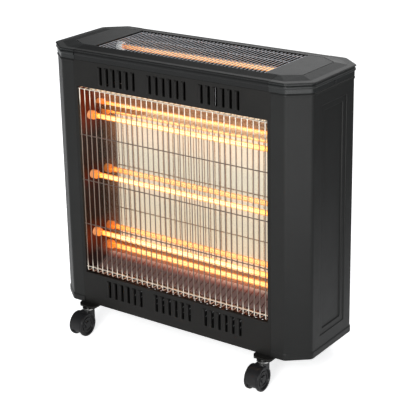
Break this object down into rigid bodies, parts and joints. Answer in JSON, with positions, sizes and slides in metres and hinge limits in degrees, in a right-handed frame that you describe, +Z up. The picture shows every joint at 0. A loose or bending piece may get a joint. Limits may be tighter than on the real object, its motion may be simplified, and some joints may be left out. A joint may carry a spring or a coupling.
{
  "type": "halogen heater",
  "caption": "Upright halogen heater with chamfered corners, glowing quartz tubes behind a wire guard, a grille over a top tube, and swivel casters under two foot bars.",
  "frame": {"origin": "centre of the footprint on the floor", "axes": "+X to the right seen from the front, +Y to the back, +Z up"},
  "size_m": [0.5798, 0.3066, 0.5783],
  "materials": {
    "black_steel": "black powder coat",
    "black_plastic": "moulded, fine grain",
    "cap_plastic": "moulded, satin",
    "guard_wire": "plated wire",
    "reflector_sheet": "polished",
    "chamber_steel": "dark, heat-resistant",
    "quartz": "glowing",
    "filament": "glowing",
    "ceramic": "unglazed",
    "foot_steel": "black powder coat",
    "fastener_steel": "zinc plated",
    "caster_steel": "zinc plated",
    "hood_plastic": "moulded nylon",
    "wheel_plastic": "moulded nylon",
    "switch_plastic": "gloss",
    "rocker_plastic": "gloss, translucent red",
    "block_plastic": "moulded",
    "cutout_case": "plain",
    "wire_sleeve": "glass-fibre sleeve",
    "gland_rubber": "moulded"
  },
  "bodies": {
    "heater": {"front_panel": "black_steel", "back_panel": "black_steel", "base_panel": "black_steel", "left_side_moulding": "black_plastic", "right_side_moulding": "black_plastic", "left_end_cap": "cap_plastic", "right_end_cap": "cap_plastic", "front_top_rail": "cap_plastic", "rear_top_rail": "cap_plastic", "top_grille": "guard_wire", "front_guard": "guard_wire", "reflector": "reflector_sheet", "left_chamber_wall": "chamber_steel", "right_chamber_wall": "chamber_steel", "top_reflector": "reflector_sheet", "upper_tube": "quartz", "middle_tube": "quartz", "lower_tube": "quartz", "top_tube": "quartz", "upper_filament": "filament", "middle_filament": "filament", "lower_filament": "filament", "top_filament": "filament", "upper_ceramics": "ceramic", "middle_ceramics": "ceramic", "lower_ceramics": "ceramic", "top_ceramics": "ceramic", "left_foot_bar": "foot_steel", "right_foot_bar": "foot_steel", "foot_bolts": "fastener_steel", "front_left_stem": "caster_steel", "front_right_stem": "caster_steel", "rear_left_stem": "caster_steel", "rear_right_stem": "caster_steel", "upper_switch_housing": "switch_plastic", "lower_switch_housing": "switch_plastic", "terminal_block": "block_plastic", "wiring_loom": "wire_sleeve", "thermal_cutout": "cutout_case", "tip_over_switch": "block_plastic", "cord_gland": "gland_rubber", "case_screws": "fastener_steel"},
    "front_left_caster": {"front_left_hood": "hood_plastic", "front_left_axle": "caster_steel"},
    "front_left_outer_wheel_body": {"front_left_outer_wheel": "wheel_plastic"},
    "front_left_inner_wheel_body": {"front_left_inner_wheel": "wheel_plastic"},
    "front_right_caster": {"front_right_hood": "hood_plastic", "front_right_axle": "caster_steel"},
    "front_right_outer_wheel_body": {"front_right_outer_wheel": "wheel_plastic"},
    "front_right_inner_wheel_body": {"front_right_inner_wheel": "wheel_plastic"},
    "rear_left_caster": {"rear_left_hood": "hood_plastic", "rear_left_axle": "caster_steel"},
    "rear_left_outer_wheel_body": {"rear_left_outer_wheel": "wheel_plastic"},
    "rear_left_inner_wheel_body": {"rear_left_inner_wheel": "wheel_plastic"},
    "rear_right_caster": {"rear_right_hood": "hood_plastic", "rear_right_axle": "caster_steel"},
    "rear_right_outer_wheel_body": {"rear_right_outer_wheel": "wheel_plastic"},
    "rear_right_inner_wheel_body": {"rear_right_inner_wheel": "wheel_plastic"},
    "upper_rocker_body": {"upper_rocker": "rocker_plastic"},
    "lower_rocker_body": {"lower_rocker": "rocker_plastic"}
  },
  "joints": [
    {"name": "front_left_swivel", "type": "hinge", "parent": "heater", "child": "front_left_caster", "pos_m": [-0.207, -0.1084, 0.04], "axis": [0, 0, 1], "continuous": true},
    {"name": "front_left_outer_roll", "type": "hinge", "parent": "front_left_caster", "child": "front_left_outer_wheel_body", "pos_m": [-0.20627, -0.12939, 0.0235], "axis": [0.9994, 0.0349, 0], "continuous": true},
    {"name": "front_left_inner_roll", "type": "hinge", "parent": "front_left_caster", "child": "front_left_inner_wheel_body", "pos_m": [-0.20627, -0.12939, 0.0235], "axis": [0.9994, 0.0349, 0], "continuous": true},
    {"name": "front_right_swivel", "type": "hinge", "parent": "heater", "child": "front_right_caster", "pos_m": [0.207, -0.1084, 0.04], "axis": [0, 0, 1], "continuous": true},
    {"name": "front_right_outer_roll", "type": "hinge", "parent": "front_right_caster", "child": "front_right_outer_wheel_body", "pos_m": [0.20773, -0.12939, 0.0235], "axis": [0.9994, 0.0349, 0], "continuous": true},
    {"name": "front_right_inner_roll", "type": "hinge", "parent": "front_right_caster", "child": "front_right_inner_wheel_body", "pos_m": [0.20773, -0.12939, 0.0235], "axis": [0.9994, 0.0349, 0], "continuous": true},
    {"name": "rear_left_swivel", "type": "hinge", "parent": "heater", "child": "rear_left_caster", "pos_m": [-0.207, 0.1084, 0.04], "axis": [0, 0, 1], "continuous": true},
    {"name": "rear_left_outer_roll", "type": "hinge", "parent": "rear_left_caster", "child": "rear_left_outer_wheel_body", "pos_m": [-0.20773, 0.12939, 0.0235], "axis": [0.9994, 0.0349, 0], "continuous": true},
    {"name": "rear_left_inner_roll", "type": "hinge", "parent": "rear_left_caster", "child": "rear_left_inner_wheel_body", "pos_m": [-0.20773, 0.12939, 0.0235], "axis": [0.9994, 0.0349, 0], "continuous": true},
    {"name": "rear_right_swivel", "type": "hinge", "parent": "heater", "child": "rear_right_caster", "pos_m": [0.207, 0.1084, 0.04], "axis": [0, 0, 1], "continuous": true},
    {"name": "rear_right_outer_roll", "type": "hinge", "parent": "rear_right_caster", "child": "rear_right_outer_wheel_body", "pos_m": [0.20627, 0.12939, 0.0235], "axis": [0.9994, 0.0349, 0], "continuous": true},
    {"name": "rear_right_inner_roll", "type": "hinge", "parent": "rear_right_caster", "child": "rear_right_inner_wheel_body", "pos_m": [0.20627, 0.12939, 0.0235], "axis": [0.9994, 0.0349, 0], "continuous": true},
    {"name": "upper_rocker_tilt", "type": "hinge", "parent": "heater", "child": "upper_rocker_body", "pos_m": [-0.281, 0, 0.467], "axis": [0, 1, 0], "range_deg": [-20, 0]},
    {"name": "lower_rocker_tilt", "type": "hinge", "parent": "heater", "child": "lower_rocker_body", "pos_m": [-0.281, 0, 0.425], "axis": [0, 1, 0], "range_deg": [-20, 0]}
  ]
}
